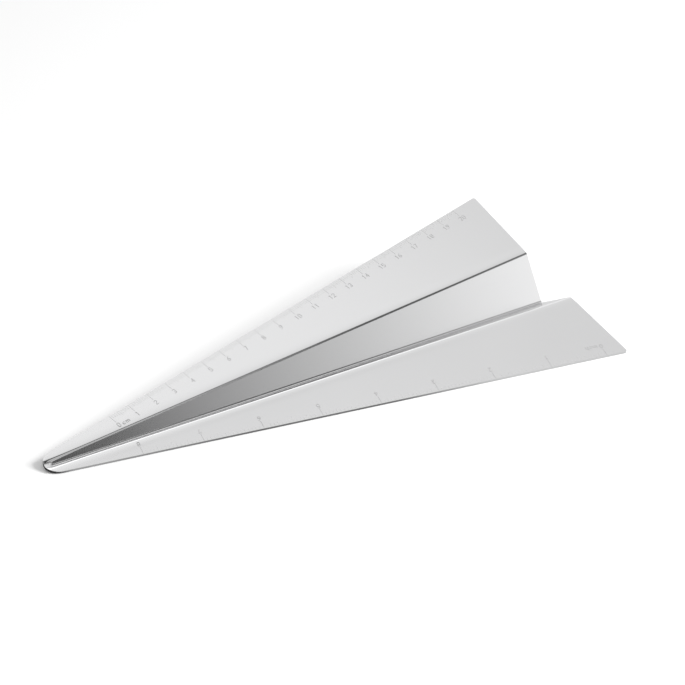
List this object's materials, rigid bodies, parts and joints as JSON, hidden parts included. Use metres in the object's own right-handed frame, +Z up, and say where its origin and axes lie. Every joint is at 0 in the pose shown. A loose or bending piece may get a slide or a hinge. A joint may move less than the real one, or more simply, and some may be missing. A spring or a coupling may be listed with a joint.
{
  "type": "desk ruler",
  "caption": "Bright steel desk ruler folded like a paper plane: open V body and flat wings, with a centimetre scale and an inch scale along the outer edges",
  "frame": {"origin": "centre of the bounding box in plan, on the table the ruler lies on", "axes": "+X from the nose to the tail along the keel, +Y to the far wing with the centimetre scale, +Z up from the table; the ruler lies leaning to the near wing, on that wing's rim and the keel"},
  "size_m": [0.245, 0.1058, 0.0327],
  "materials": {
    "polished_steel": "polished",
    "scale_marks": "matt"
  },
  "bodies": {
    "root": {"steel_sheet": "polished_steel", "centimetre_lines": "scale_marks", "half_centimetre_lines": "scale_marks", "millimetre_lines": "scale_marks", "centimetre_figures": "scale_marks", "centimetre_unit": "scale_marks", "inch_lines": "scale_marks", "half_inch_lines": "scale_marks", "quarter_inch_lines": "scale_marks", "eighth_inch_lines": "scale_marks", "sixteenth_inch_lines": "scale_marks", "inch_figures": "scale_marks", "inch_unit": "scale_marks"}
  },
  "joints": []
}
